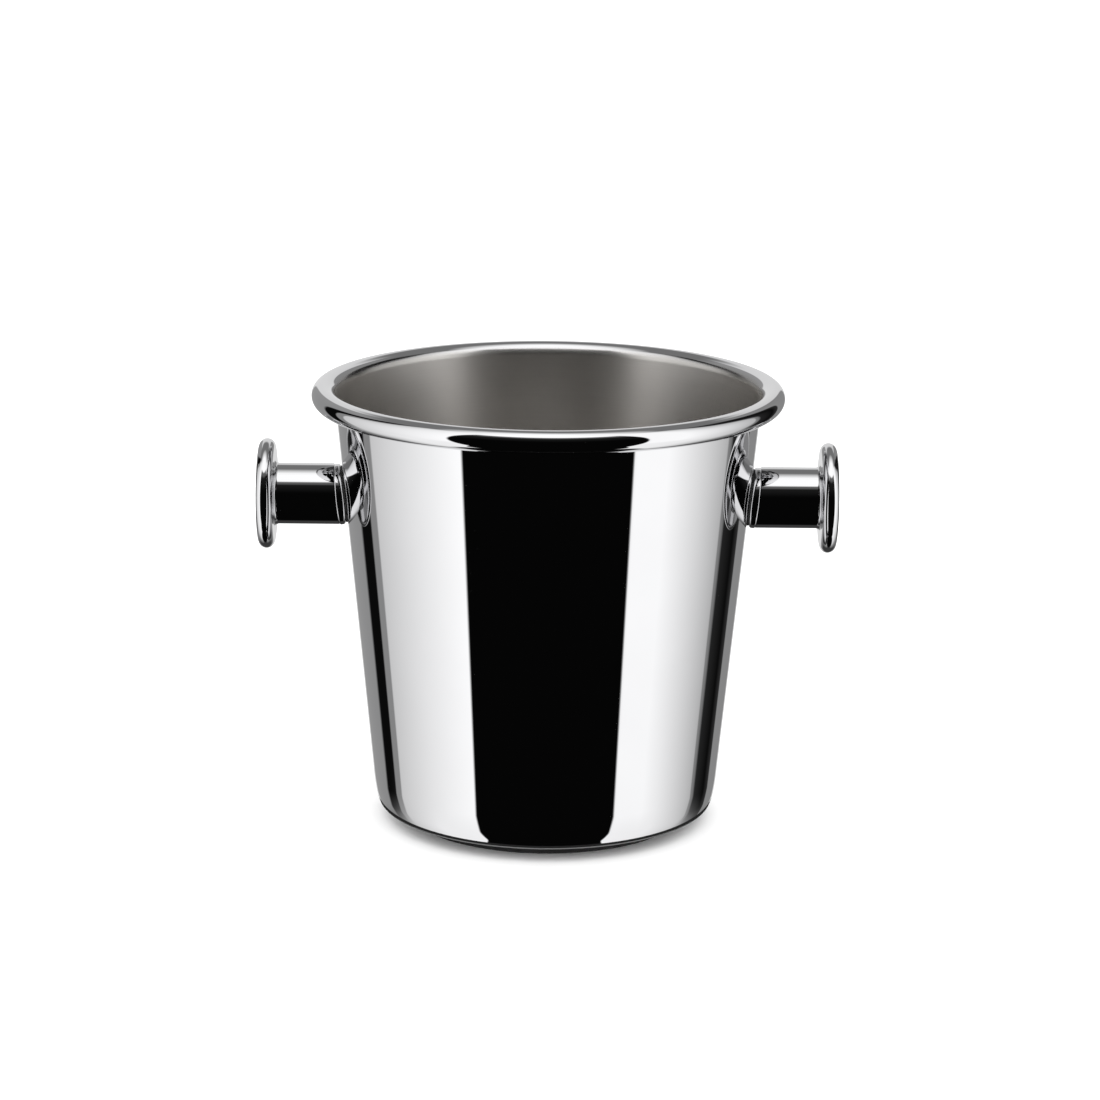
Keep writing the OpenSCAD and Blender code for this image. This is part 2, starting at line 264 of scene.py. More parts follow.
def reach_wall(points, axis, shell, out):
    """How far along the axis each point has to go to meet the wall's cone, moved out by "out".

    The cone is x^2 + y^2 = (base + out / cos a + z tan a)^2, and a point p + s axis lies on it for
    one root s of a quadratic: the one on the side that the axis points to.
    """
    slope, base = wall_of(shell)
    k = tan(slope)
    x, y, z = points[..., 0], points[..., 1], points[..., 2]
    here = base + out / cos(slope) + z * k
    a = axis[0] ** 2 - (axis[2] * k) ** 2
    b = x * axis[0] - here * axis[2] * k
    c = x ** 2 + y ** 2 - here ** 2
    return (np.sqrt(b * b - a * c) - b) / a


# ---- meshes ----

def make_piece(name, grid, material, node, closed=False, marks=None):
    """A mesh from a grid whose steps run all the way round, riding on the body and standing for a CAD node.

    Rows are joined to the next row, and the last to the first where closed is set. A first or last row
    that shrinks to one point becomes a pole with triangles round it. The UV map runs round the piece
    in u, from 0 to 1, and along its profile in v, in metres.
    """
    rows, steps = grid.shape[:2]
    pole = [not closed and np.ptp(grid[i], axis=0).max() < 1e-7 for i in (0, -1)]
    count = np.full(rows, steps)
    count[0] = 1 if pole[0] else steps
    count[-1] = 1 if pole[1] else steps
    first = np.concatenate([[0], np.cumsum(count)[:-1]])
    column = np.arange(steps)
    index = first[:, None] + np.where(count[:, None] > 1, column[None], 0)
    used = np.ones((rows, steps), bool)
    used[count == 1, 1:] = False
    points = grid[used]

    along = np.concatenate([[0], np.cumsum(np.linalg.norm(np.diff(grid, axis=0), axis=2).mean(1))])
    low = np.arange(rows if closed else rows - 1)
    high = (low + 1) % rows
    ahead = (column + 1) % steps
    quads = np.stack([index[low][:, column], index[low][:, ahead],
                      index[high][:, ahead], index[high][:, column]], 2)
    left, right = column / steps, (column + 1) / steps
    v_low = along[low][:, None] + 0 * left
    v_high = np.where(high > low, along[high], along[-1])[:, None] + 0 * left
    u_left, u_right = left + 0 * v_low, right + 0 * v_low
    places = np.stack([np.stack([u_left, v_low], 2), np.stack([u_right, v_low], 2),
                       np.stack([u_right, v_high], 2), np.stack([u_left, v_high], 2)], 2)

    # the pole rows lose the corner that would be doubled
    faces, uvs = [], []
    for i in range(len(low)):
        corners = [0, 1, 2, 3]
        if pole[0] and i == 0:
            corners = [0, 2, 3]
        elif pole[1] and i == len(low) - 1:
            corners = [0, 1, 2]
        faces.append(quads[i][:, corners])
        uvs.append(places[i][:, corners])

    solid = sum(np.einsum("ij,ij->i", points[f[:, 0]], np.cross(points[f[:, k]], points[f[:, k + 1]])).sum()
                for f in faces for k in range(1, f.shape[1] - 1))
    if solid < 0:
        faces = [f[:, ::-1] for f in faces]
        uvs = [w[:, ::-1] for w in uvs]

    mesh = bpy.data.meshes.new(name)
    mesh.from_pydata(points.tolist(), [], [face for f in faces for face in f.tolist()])
    layer = mesh.uv_layers.new(name="round_and_along")
    layer.data.foreach_set("uv", np.concatenate([w.reshape(-1) for w in uvs]))
    if marks is not None:
        attribute = mesh.attributes.new("inside", "FLOAT", "POINT")
        spread_out = np.broadcast_to(marks[:, None], (rows, steps))[used]
        attribute.data.foreach_set("value", spread_out.astype(np.float32))
    mesh.polygons.foreach_set("use_smooth", np.ones(len(mesh.polygons), bool))
    mesh.set_sharp_from_angle(angle=radians(CREASE))
    mesh.materials.append(material)
    mesh.update()
    if mesh.validate():
        raise RuntimeError(f"{name}: the mesh had to be repaired")
    piece = bpy.data.objects.new(name, mesh)
    bpy.context.scene.collection.objects.link(piece)
    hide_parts(node)
    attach(piece, "root")
    return piece


def on_side(grid, side):
    """The grid turned half a turn about Z for the left-hand knob."""
    return grid * np.array([side, side, 1.0])


def finish_node(node, material):
    """Gives a CAD node that stays in place a better material."""
    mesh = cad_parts[node].data
    mesh.materials.clear()
    mesh.materials.append(material)


# ---- shader node groups ----

def new_group(name, inputs, outputs):
    """An empty shader node group with named sockets, and its input and output nodes."""
    group = bpy.data.node_groups.new(name, "ShaderNodeTree")
    for label, kind, default in inputs:
        socket = group.interface.new_socket(label, in_out="INPUT", socket_type=kind)
        if default is not None:
            socket.default_value = default
    for label, kind in outputs:
        group.interface.new_socket(label, in_out="OUTPUT", socket_type=kind)
    return group, group.nodes.new("NodeGroupInput"), group.nodes.new("NodeGroupOutput")


def plug(tree, value, socket):
    """Joins an output to a socket, or sets the socket to a plain value."""
    if isinstance(value, bpy.types.NodeSocket):
        tree.links.new(value, socket)
    else:
        socket.default_value = value


def sums(tree, operation, *values, clamp=False):
    """A Math node's result."""
    node = tree.nodes.new("ShaderNodeMath")
    node.operation = operation
    node.use_clamp = clamp
    for socket, value in zip(node.inputs, values):
        plug(tree, value, socket)
    return node.outputs[0]


def spread(tree, value, low, high, to_low=0.0, to_high=1.0, smooth=True):
    """A Map Range node's result: low to high becomes to_low to to_high, held at the ends."""
    node = tree.nodes.new("ShaderNodeMapRange")
    node.interpolation_type = "SMOOTHSTEP" if smooth else "LINEAR"
    node.clamp = True
    for socket, number in zip(node.inputs, (value, low, high, to_low, to_high)):
        plug(tree, number, socket)
    return node.outputs[0]


def blend(tree, factor, a, b):
    """A Mix node's colour result."""
    node = tree.nodes.new("ShaderNodeMix")
    node.data_type = "RGBA"
    plug(tree, factor, node.inputs["Factor"])
    plug(tree, a, node.inputs[6])
    plug(tree, b, node.inputs[7])
    return node.outputs[2]


def ramp(tree, value, stops):
    """A ColorRamp node's result from stops of (position, grey)."""
    node = tree.nodes.new("ShaderNodeValToRGB")
    elements = node.color_ramp.elements
    while len(elements) > 1:
        elements.remove(elements[-1])
    elements[0].position = stops[0][0]
    elements[0].color = (stops[0][1],) * 3 + (1,)
    for place, grey in stops[1:]:
        elements.new(place).color = (grey,) * 3 + (1,)
    plug(tree, value, node.inputs[0])
    return node.outputs[0]


def cloud_group():
    """Soft Cloud: two sizes of noise in a given space, spread between two values."""
    name = "Soft Cloud"
    if name in bpy.data.node_groups:
        return bpy.data.node_groups[name]
    group, given, result = new_group(
        name,
        [("Vector", "NodeSocketVector", None), ("Per Metre", "NodeSocketFloat", 40.0),
         ("Low", "NodeSocketFloat", 0.0), ("High", "NodeSocketFloat", 1.0)],
        [("Value", "NodeSocketFloat"), ("Mask", "NodeSocketFloat")])
    noise = group.nodes.new("ShaderNodeTexNoise")
    noise.inputs["Detail"].default_value = 3
    noise.inputs["Roughness"].default_value = 0.55
    group.links.new(given.outputs["Vector"], noise.inputs["Vector"])
    group.links.new(given.outputs["Per Metre"], noise.inputs["Scale"])
    mask = spread(group, noise.outputs["Fac"], 0.3, 0.7)
    value = spread(group, mask, 0.0, 1.0, given.outputs["Low"], given.outputs["High"], smooth=False)
    group.links.new(value, result.inputs["Value"])
    group.links.new(mask, result.inputs["Mask"])
    return group


def turning_group():
    """Turning Marks: fine lines that run round a piece, from its UV map.

    The height is noise that changes quickly along the profile and very slowly round it.
    """
    name = "Turning Marks"
    if name in bpy.data.node_groups:
        return bpy.data.node_groups[name]
    group, given, result = new_group(
        name,
        [("UV", "NodeSocketVector", None), ("Lines Per Metre", "NodeSocketFloat", 1500.0),
         ("Runs Per Turn", "NodeSocketFloat", 6.0)],
        [("Lines", "NodeSocketFloat"), ("Height", "NodeSocketFloat")])
    parts = group.nodes.new("ShaderNodeSeparateXYZ")
    group.links.new(given.outputs["UV"], parts.inputs[0])
    turn = sums(group, "MULTIPLY", parts.outputs[0], 2 * pi)
    # the noise is taken round a circle, so that it closes on itself
    radius = sums(group, "DIVIDE", given.outputs["Runs Per Turn"], 2 * pi)
    place = group.nodes.new("ShaderNodeCombineXYZ")
    plug(group, sums(group, "MULTIPLY", sums(group, "COSINE", turn), radius), place.inputs[0])
    plug(group, sums(group, "MULTIPLY", sums(group, "SINE", turn), radius), place.inputs[1])
    plug(group, sums(group, "MULTIPLY", parts.outputs[1], given.outputs["Lines Per Metre"]), place.inputs[2])
    noise = group.nodes.new("ShaderNodeTexNoise")
    noise.inputs["Scale"].default_value = 1.0
    noise.inputs["Detail"].default_value = 2
    group.links.new(place.outputs[0], noise.inputs["Vector"])
    lines = spread(group, noise.outputs["Fac"], 0.3, 0.7)
    group.links.new(lines, result.inputs["Lines"])
    group.links.new(sums(group, "SUBTRACT", noise.outputs["Fac"], 0.5), result.inputs["Height"])
    return group


def use_group(tree, group, **values):
    """Places a node group in a tree and sets or joins its named inputs."""
    node = tree.nodes.new("ShaderNodeGroup")
    node.node_tree = group
    for label, value in values.items():
        plug(tree, value, node.inputs[label.replace("_", " ")])
    return node


def new_material(name, display):
    """An empty node material: its tree, its Principled shader and its Object coordinates."""
    material = bpy.data.materials.new(name)
    material.use_nodes = True
    material.diffuse_color = (*display, 1)
    tree = material.node_tree
    shader = tree.nodes["Principled BSDF"]
    return material, tree, shader, tree.nodes.new("ShaderNodeTexCoord").outputs["Object"]


def round_and_along(tree):
    """The piece's own UV map: round it in u and along its profile in v."""
    uv = tree.nodes.new("ShaderNodeUVMap")
    uv.uv_map = "round_and_along"
    return uv.outputs[0]


def raise_surface(tree, height, depth, shader):
    """Feeds a height into the shader's normal through a Bump node, depth in metres."""
    bump = tree.nodes.new("ShaderNodeBump")
    bump.inputs["Strength"].default_value = 1
    bump.inputs["Distance"].default_value = depth
    tree.links.new(height, bump.inputs["Height"])
    tree.links.new(bump.outputs[0], shader.inputs["Normal"])


def darker(colour, by):
    """The colour times a number, as a colour socket's value."""
    return (*(channel * by for channel in colour), 1)


def shared_material(name, build):
    """The material of that name, built the first time it is asked for."""
    return bpy.data.materials.get(name) or build(name)


def polished_steel(name):
    """Mirror-polished steel: a faint haze, and even fainter polishing lines round the piece."""
    finish = bpy.context.scene.champagne_bucket.finish
    material, tree, shader, place = new_material(name, finish.steel)
    uv = round_and_along(tree)
    haze = use_group(tree, cloud_group(), Vector=place, Per_Metre=55.0, Low=0.018, High=0.034)
    lines = use_group(tree, turning_group(), UV=uv, Lines_Per_Metre=900.0, Runs_Per_Turn=5.0)
    rough = sums(tree, "MULTIPLY_ADD", lines.outputs["Lines"], 0.010, haze.outputs["Value"])
    tree.links.new(rough, shader.inputs["Roughness"])
    tree.links.new(blend(tree, haze.outputs["Mask"], darker(finish.steel, 1.0), darker(finish.steel, 0.985)),
                   shader.inputs["Base Color"])
    shader.inputs["Metallic"].default_value = 1
    return material


def polished_and_satin_steel(name):
    """Mirror-polished steel, and satin below the satin line where the mesh's "inside" mark is 1."""
    made = bpy.context.scene.champagne_bucket
    finish, shell = made.finish, made.shell
    material, tree, shader, place = new_material(name, finish.steel)
    uv = round_and_along(tree)
    mark = tree.nodes.new("ShaderNodeAttribute")
    mark.attribute_name = "inside"
    parts = tree.nodes.new("ShaderNodeSeparateXYZ")
    tree.links.new(place, parts.inputs[0])
    half = shell.satin_fade / 2
    below = spread(tree, parts.outputs[2], shell.satin_z - half, shell.satin_z + half, 1.0, 0.0)
    satin = sums(tree, "MULTIPLY", mark.outputs["Fac"], below)
    haze = use_group(tree, cloud_group(), Vector=place, Per_Metre=30.0, Low=0.012, High=0.024)
    bloom = use_group(tree, cloud_group(), Vector=place, Per_Metre=22.0, Low=0.29, High=0.35)
    lines = use_group(tree, turning_group(), UV=uv, Lines_Per_Metre=1600.0, Runs_Per_Turn=14.0)
    brushed = sums(tree, "MULTIPLY_ADD", lines.outputs["Lines"], 0.03, bloom.outputs["Value"])
    rough = spread(tree, satin, 0.0, 1.0, haze.outputs["Value"], brushed, smooth=False)
    tree.links.new(rough, shader.inputs["Roughness"])
    tone = sums(tree, "MULTIPLY", bloom.outputs["Mask"], 0.75)
    tone = sums(tree, "MULTIPLY_ADD", lines.outputs["Lines"], 0.25, tone)
    inner = blend(tree, tone, darker(finish.inside, 1.0), darker(finish.inside, 0.93))
    outer = blend(tree, haze.outputs["Mask"], darker(finish.steel, 1.0), darker(finish.steel, 0.985))
    tree.links.new(blend(tree, satin, outer, inner), shader.inputs["Base Color"])
    # the satin is brushed round the bucket, which spreads what it reflects up and down
    shader.inputs["Anisotropic"].default_value = 0.6
    shader.inputs["Anisotropic Rotation"].default_value = 0.25
    shader.inputs["Metallic"].default_value = 1
    return material


def turned_steel(name):
    """Turned steel: lines round the piece in tone, roughness and height."""
    finish = bpy.context.scene.champagne_bucket.finish
    material, tree, shader, place = new_material(name, finish.turned)
    uv = round_and_along(tree)
    lines = use_group(tree, turning_group(), UV=uv, Lines_Per_Metre=3500.0, Runs_Per_Turn=4.0)
    haze = use_group(tree, cloud_group(), Vector=place, Per_Metre=300.0, Low=0.20, High=0.30)
    tree.links.new(sums(tree, "MULTIPLY_ADD", lines.outputs["Lines"], 0.08, haze.outputs["Value"]),
                   shader.inputs["Roughness"])
    tone = blend(tree, lines.outputs["Lines"], darker(finish.turned, 1.0), darker(finish.turned, 0.85))
    tree.links.new(tone, shader.inputs["Base Color"])
    raise_surface(tree, lines.outputs["Height"], 0.00003, shader)
    shader.inputs["Metallic"].default_value = 1
    return material


def plain_steel(name):
    """Mill-finish steel: cloudy grey with a fine grain."""
    finish = bpy.context.scene.champagne_bucket.finish
    material, tree, shader, place = new_material(name, finish.plain)
    haze = use_group(tree, cloud_group(), Vector=place, Per_Metre=120.0, Low=0.34, High=0.48)
    grain = use_group(tree, cloud_group(), Vector=place, Per_Metre=1800.0, Low=0.0, High=1.0)
    tree.links.new(haze.outputs["Value"], shader.inputs["Roughness"])
    tree.links.new(blend(tree, haze.outputs["Mask"], darker(finish.plain, 1.0), darker(finish.plain, 0.82)),
                   shader.inputs["Base Color"])
    raise_surface(tree, grain.outputs["Value"], 0.00002, shader)
    shader.inputs["Metallic"].default_value = 1
    return material


def black_rubber(name):
    """Matt black rubber, darkened to near black as painted shade for the shadow under the shell: a slightly
    dusty tone and a fine moulded grain.
    """
    finish = bpy.context.scene.champagne_bucket.finish
    material, tree, shader, place = new_material(name, finish.rubber)
    dust = use_group(tree, cloud_group(), Vector=place, Per_Metre=90.0, Low=0.58, High=0.74)
    grain = use_group(tree, cloud_group(), Vector=place, Per_Metre=2500.0, Low=0.0, High=1.0)
    tree.links.new(dust.outputs["Value"], shader.inputs["Roughness"])
    tree.links.new(blend(tree, dust.outputs["Mask"], darker(finish.rubber, 0.8), darker(finish.rubber, 1.5)),
                   shader.inputs["Base Color"])
    raise_surface(tree, grain.outputs["Value"], 0.00004, shader)
    shader.inputs["Specular IOR Level"].default_value = 0.04
    return material


# ---- shapes ----

def shell_profile(shell, foot):
    """The shell's closed outline from the middle of the floor's underside to the middle of its top.

    Outside: floor, tight corner, sweep, slow curve and straight wall, each tangent to the next: the
    centres of two tangent arcs lie on one line with the point where they meet. Rim: the wall turns
    out through the flare, over the top and down round the bead, and ends inside the curl. The inside
    follows at the sheet's thickness. Returns the outline and the mark of its inside.
    """
    slope, base = wall_of(shell)
    sheet, a = shell.sheet, slope * 180 / pi
    ease = slope + shell.ease_turn
    turn = ease + shell.sweep_turn
    ease_deg, turn_deg = ease * 180 / pi, turn * 180 / pi
    flare_z = shell.height - shell.flare_r
    bead_z = shell.height - shell.bead_r
    rim_r = base + flare_z * tan(slope) + (shell.flare_r - sheet) / cos(slope)
    corner_z = foot.height + shell.corner_r
    sweep_z = corner_z + (shell.sweep_r - shell.corner_r) * sin(turn)
    slow_z = sweep_z + (shell.ease_r - shell.sweep_r) * sin(ease)
    slow_c = base + (slow_z - shell.ease_r * sin(slope)) * tan(slope) - shell.ease_r * cos(slope)
    sweep_c = slow_c + (shell.ease_r - shell.sweep_r) * cos(ease)
    corner_c = sweep_c + (shell.sweep_r - shell.corner_r) * cos(turn)
    corner, sweep, slow = (corner_c, corner_z), (sweep_c, sweep_z), (slow_c, slow_z)
    flare, bead = (rim_r, flare_z), (rim_r, bead_z)
    curl = shell.curl_end * 180 / pi

    floor_out = line((0, foot.height), (corner_c, foot.height), 6)
    foot_out = join(arc(corner, shell.corner_r, -90, -turn_deg, 4),
                    arc(sweep, shell.sweep_r, -turn_deg, -ease_deg, 1),
                    arc(slow, shell.ease_r, -ease_deg, -a, 0.4))
    flare_under = arc(flare, shell.flare_r - sheet, 180 - a, 90, 6)
    wall_out = line(foot_out[-1], flare_under[0], 10)
    curl_in = arc(bead, shell.bead_r - sheet, 90, -curl, 8)
    curl_out = arc(bead, shell.bead_r, -curl, 90, 2.5)
    curl_edge = line(curl_in[-1], curl_out[0], 1, 0.0001)
    flare_top = arc(flare, shell.flare_r, 90, 180 - a, 2.5)
    foot_in = join(arc(slow, shell.ease_r - sheet, -a, -ease_deg, 0.8),
                   arc(sweep, shell.sweep_r - sheet, -ease_deg, -turn_deg, 2),
                   arc(corner, shell.corner_r - sheet, -turn_deg, -90, 6))
    wall_in = line(flare_top[-1], foot_in[0], 16)
    floor_in = line(foot_in[-1], (0, foot.height + sheet), 8)

    outside = join(floor_out, foot_out, wall_out, flare_under, curl_in, curl_edge, curl_out, flare_top)
    outline = join(outside, wall_in, foot_in, floor_in)
    mark = np.ones(len(outline))
    mark[:len(outside) - len(flare_top)] = 0
    return outline, mark


def pad_profile(foot):
    """The pad's closed ring section: flat sole, eased outer edge, outer lip, groove, inner part."""
    outer, inner = foot.outer_r, foot.outer_r - foot.width
    ease = foot.bed / 2
    groove_out = (outer + inner + foot.groove) / 2
    groove_in = groove_out - foot.groove
    inner_top = foot.height - foot.step
    return join(
        line((inner, 0), (outer - ease, 0), 2),
        arc((outer - ease, ease), ease, -90, 0, 9),
        line((outer, ease), (outer, foot.height), 2),
        line((outer, foot.height), (groove_out, foot.height)),
        line((groove_out, foot.height), (groove_out, foot.bed)),
        line((groove_out, foot.bed), (groove_in, foot.bed)),
        line((groove_in, foot.bed), (groove_in, inner_top)),
        line((groove_in, inner_top), (inner, inner_top)),
        line((inner, inner_top), (inner, 0)))[:-1]


def disc_face_profile(knob):
    """Half section of the disc's face: a dome tangent to the rounded edge, then its inside.

    The dome through the crown has radius R = edge + (c^2 + k^2) / 2k, with c the edge's centre and
    k the crown.
    """
    centre = knob.disc_r - knob.edge_r
    dome_r = knob.edge_r + (centre ** 2 + knob.crown ** 2) / (2 * knob.crown)
    dome = (0, knob.edge_r + knob.crown - dome_r)
    meet = 90 - asin(centre / (dome_r - knob.edge_r)) * 180 / pi
    step = (90 - meet) / 24
    return join(
        arc(dome, dome_r, 90, meet, step),
        arc((centre, 0), knob.edge_r, meet, 0, 3),
        line((knob.disc_r, 0), (knob.disc_r - knob.sheet, 0)),
        arc((centre, 0), knob.edge_r - knob.sheet, 0, meet, 8),
        arc(dome, dome_r - knob.sheet, meet, 90, step * 4))


def disc_back_profile(knob, neck):
    """Ring section of the disc's back: rounded edge, flat back, cove and neck, then its inside."""
    centre = knob.disc_r - knob.edge_r
    root = knob.stem_r + knob.cove_r
    cove = (root, -knob.edge_r - knob.cove_r)
    end = -knob.edge_r - neck
    thin = knob.sheet
    return join(
        arc((centre, 0), knob.edge_r, 0, -90, 3),
        line((centre, -knob.edge_r), (root, -knob.edge_r), 4),
        arc(cove, knob.cove_r, 90, 180, 4),
        line((knob.stem_r, cove[1]), (knob.stem_r, end)),
        line((knob.stem_r, end), (knob.stem_r - thin, end)),
        line((knob.stem_r - thin, end), (knob.stem_r - thin, cove[1])),
        arc(cove, knob.cove_r + thin, 180, 90, 8),
        line((root, thin - knob.edge_r), (centre, thin - knob.edge_r), 2),
        arc((centre, 0), knob.edge_r - thin, -90, 0, 8),
        line((knob.disc_r - thin, 0), (knob.disc_r, 0)))[:-1]


def along_axis(profile, knob, start, steps):
    """Profile (r, h) carried round the knob's axis: (start + h, r sin t, axis + r cos t)."""
    grid = spin_out(profile[:, 0], steps, (start, 0, knob.axis_z), (1, 0, 0))
    grid[:, :, 0] += profile[:, 1:2]
    return grid


def square_to_wall(knob, shell):
    """The foot and the direction of an axis square to the wall at the knob."""
    slope, base = wall_of(shell)
    return (base + knob.axis_z * tan(slope), 0, knob.axis_z), (cos(slope), 0, -sin(slope))


def stem_grid(knob, shell, steps):
    """Tube along the knob's axis whose inner end is cut square to the wall, where the collar ends.

    Each row is a share f of the way from the neck to the cut: x = neck + f (cut(z) - neck).
    """
    slope = wall_of(shell)[0]
    foot = square_to_wall(knob, shell)[0]
    bore_r = knob.stem_r - knob.sheet
    rows = join(line((knob.stem_r, 0), (knob.stem_r, 1), 6, 0.002),
                line((bore_r, 1), (bore_r, 0), 1, 0.002))
    grid = spin_out(rows[:, 0], steps, (0, 0, knob.axis_z), (1, 0, 0))
    cut = foot[0] + (knob.gasket + knob.collar + (grid[:, :, 2] - knob.axis_z) * sin(slope)) / cos(slope)
    grid[:, :, 0] = knob.neck_x + rows[:, 1:2] * (cut - knob.neck_x)
    return grid


def collar_grid(knob, shell, fixing, steps):
    """Turned ring: flat and eased on the stem's side, rounded and following the wall on the other.

    A row is (radius, height, hold): its height counts from the foot of the axis where hold is 0, and
    from the gasket's face where hold is 1.
    """
    foot, axis = square_to_wall(knob, shell)
    top = knob.gasket + knob.collar
    ease, soft, r = knob.collar_ease, knob.collar_round, knob.stem_r
    spigot_r = r - knob.sheet - knob.spigot_gap
    free = join(
        line((fixing.hole_r, top + knob.spigot), (spigot_r, top + knob.spigot)),
        line((spigot_r, top + knob.spigot), (spigot_r, top)),
        line((spigot_r, top), (r - ease, top)),
        arc((r - ease, top - ease), ease, 90, 0, 6))
    held = join(
        arc((r - soft, soft), soft, 0, -90, 5),
        line((r - soft, 0), (fixing.hole_r, 0), 8))
    rows = np.concatenate([free, held])
    hold = np.concatenate([np.zeros(len(free)), np.ones(len(held))])
    grid = spin_out(rows[:, 0], steps, foot, axis)
    drop = reach_wall(grid, axis, shell, knob.gasket)
    rise = rows[:, 1:2] + hold[:, None] * drop
    return grid + rise[:, :, None] * np.array(axis)


def layer_grid(radius, inner, thick, foot, axis, shell, out, steps):
    """Thin ring that follows the wall, with its outer edge rounded by half of its thickness."""
    half = thick / 2
    rows = join(
        line((inner, 0), (radius - half, 0), 5),
        arc((radius - half, half), half, -90, 90, 12),
        line((radius - half, thick), (inner, thick), 5))
    grid = spin_out(rows[:, 0], steps, foot, axis)
    low = reach_wall(grid, axis, shell, out)
    high = reach_wall(grid, axis, shell, out + thick)
    rise = low + (rows[:, 1:2] / thick) * (high - low)
    return grid + rise[:, :, None] * np.array(axis)


def washer_grid(knob, shell, fixing, steps):
    """Washer with a flat side for the screw head, an eased edge and a side that follows the wall."""
    ease = fixing.washer_ease
    free = join(
        line((fixing.hole_r, 0), (fixing.washer_r - ease, 0), 3),
        arc((fixing.washer_r - ease, ease), ease, -90, 0, 15))
    held = line((fixing.washer_r, 0), (fixing.hole_r, 0), 6)
    rows = np.concatenate([free, held])
    hold = np.concatenate([np.zeros(len(free)), np.ones(len(held))])[:, None]
    grid = spin_out(rows[:, 0], steps, (0, 0, knob.axis_z), (1, 0, 0))
    reach = reach_wall(grid, (1, 0, 0), shell, -shell.sheet - fixing.seal)
    grid[:, :, 0] = (1 - hold) * (fixing.seat_x + rows[:, 1:2]) + hold * reach
    return grid


def screw_grid(knob, fixing, steps):
    """Button-head screw, from the bottom of its socket over the head and down the shank to its tip.

    The socket's mouth has the radius of a hexagon, half of the flats over cos of the angle from the
    nearest flat, and its sides run in to a round floor. The head is part of a ball through its top
    and its rim.
    """
    ball = (fixing.head_r ** 2 + fixing.head_h ** 2) / (2 * fixing.head_h)
    corner = fixing.socket_af / 2 / cos(pi / 6)
    mouth = corner + fixing.socket_lip

    def ball_h(r):
        return ball - fixing.head_h - sqrt(ball ** 2 - r ** 2)

    floor_h = fixing.socket_depth - fixing.head_h
    lip_h = ball_h(mouth) + fixing.socket_ease
    rim_deg = atan2(ball - fixing.head_h, fixing.head_r) * 180 / pi
    mouth_deg = asin(mouth / ball) * 180 / pi - 90
    tip, bevel = fixing.tip_x - fixing.seat_x, fixing.tip_bevel
    socket = join(line((0, floor_h), (corner, floor_h)), line((corner, floor_h), (corner, lip_h)))
    rows = join(
        socket,
        arc((0, ball - fixing.head_h), ball, mouth_deg, -rim_deg, 4),
        line((fixing.head_r, 0), (fixing.screw_r, 0), 2),
        line((fixing.screw_r, 0), (fixing.screw_r, tip - bevel), 2),
        line((fixing.screw_r, tip - bevel), (fixing.screw_r - bevel, tip)),
        line((fixing.screw_r - bevel, tip), (0, tip)))
    grid = along_axis(rows, knob, fixing.seat_x, steps)
    t = turns(steps)
    flat = cos(pi / 6) / np.cos((t + pi / 6) % (pi / 3) - pi / 6)
    at_mouth = np.arange(len(rows)) == len(socket) - 1
    middle = np.array([0, 0, knob.axis_z])
    shrunk = (grid - middle) * np.stack([1 + 0 * t, flat, flat], 1) + middle
    return np.where(at_mouth[:, None, None], shrunk, grid)


# ---- studio ----

def even(value):
    """A grey of that linear value, as a colour socket's value."""
    return (value, value, value, 1)


def display_light(grey):
    """Light that polished steel shows as a screen grey from 0 to 255."""
    part = grey / 255
    light = part / 12.92 if part <= 0.04045 else ((part + 0.055) / 1.055) ** 2.4
    return light / STEEL_RETURNS


# The studio's directions are an azimuth, 0 towards the viewer and +90 on the viewer's right, and a
# rise above level, both in degrees. Its tones are the screen greys that polished steel shows.
BLACK_CARD = 5
GREY_ROOM = 110
EDGE_SOFT = 0.25

# What stands round the bucket, by azimuth: start, end, tone at the start, tone at the end
CARDS = (
    (-180, -165, 205, 205),   # pale wall behind
    (-165, -135, 140, 135),   # grey screen
    (-135, -122, 10, 10),     # dark gap
    (-122, -115, 130, 130),   # turned edge of the left card
    (-115, -47.5, 195, 255),  # left card
    (-47.5, 49, 5, 5),        # black card in front
    (49, 70, 250, 250),       # right card, near end
    (70, 117, 250, 175),      # right card, falling away
    (117, 121, 120, 120),     # its turned edge
    (121, 136, 35, 10),       # dark gap
    (136, 144, 10, 45),
    (144, 165, 130, 125),     # grey screen
    (165, 180, 200, 205),     # pale wall behind
)
# The pale floor further out, below the cards, in the same way and alike on both sides
GROUND = (
    (0, 48.5, 5, 5),  # under the black card
    (48.5, 82, 240, 235),
    (82, 112, 235, 200),
    (112, 127, 200, 140),
    (127, 150, 140, 55),
    (150, 180, 55, 55),
)
# Over the black card, by rise: where the next tone starts, where it is reached, the tone
OVER_BLACK_CARD = ((10, 45, 25), (42, 50, 90), (53, 59, 255))
# The cards lean forwards by this much over these rises, and only this far beside the bucket
LEAN, LEAN_RISE, LEAN_BESIDE = 22.0, (8.0, 46.0), (72.0, 100.0)
# Low down, the floor's tones splay away from the front by this much, over these rises
SPLAY, SPLAY_RISE = -15.0, (-64.0, -48.0)
# Rise of a side card's top edge, which falls from the first to the second over these azimuths
TOP_EDGE, TOP_BESIDE = (66.0, 42.0), (76.0, 120.0)
# and falls by this much more behind the bucket
TOP_DROP, DROP_BESIDE = 10.0, (140.0, 168.0)
TOP_SOFT = 6.0
# How far beside the bucket the column over the black card ends
FRONT_END = (47.5, 49.5)
# and where the side cards' top edge starts: nearer the front they run up into the softbox
TOP_STARTS = (66.0, 80.0)
# Softbox overhead: its light, and how fast it fades towards the back and bows to the sides
SOFTBOX_LIGHT, SOFTBOX_FADE, SOFTBOX_BOW = 1.02, 1.75, 1.3
# Rises over which the cards give way to the pale floor, and that to the dark under the bucket
FLOOR_STARTS, DARK_STARTS = (-38.0, -22.0), (-69.0, -65.0)


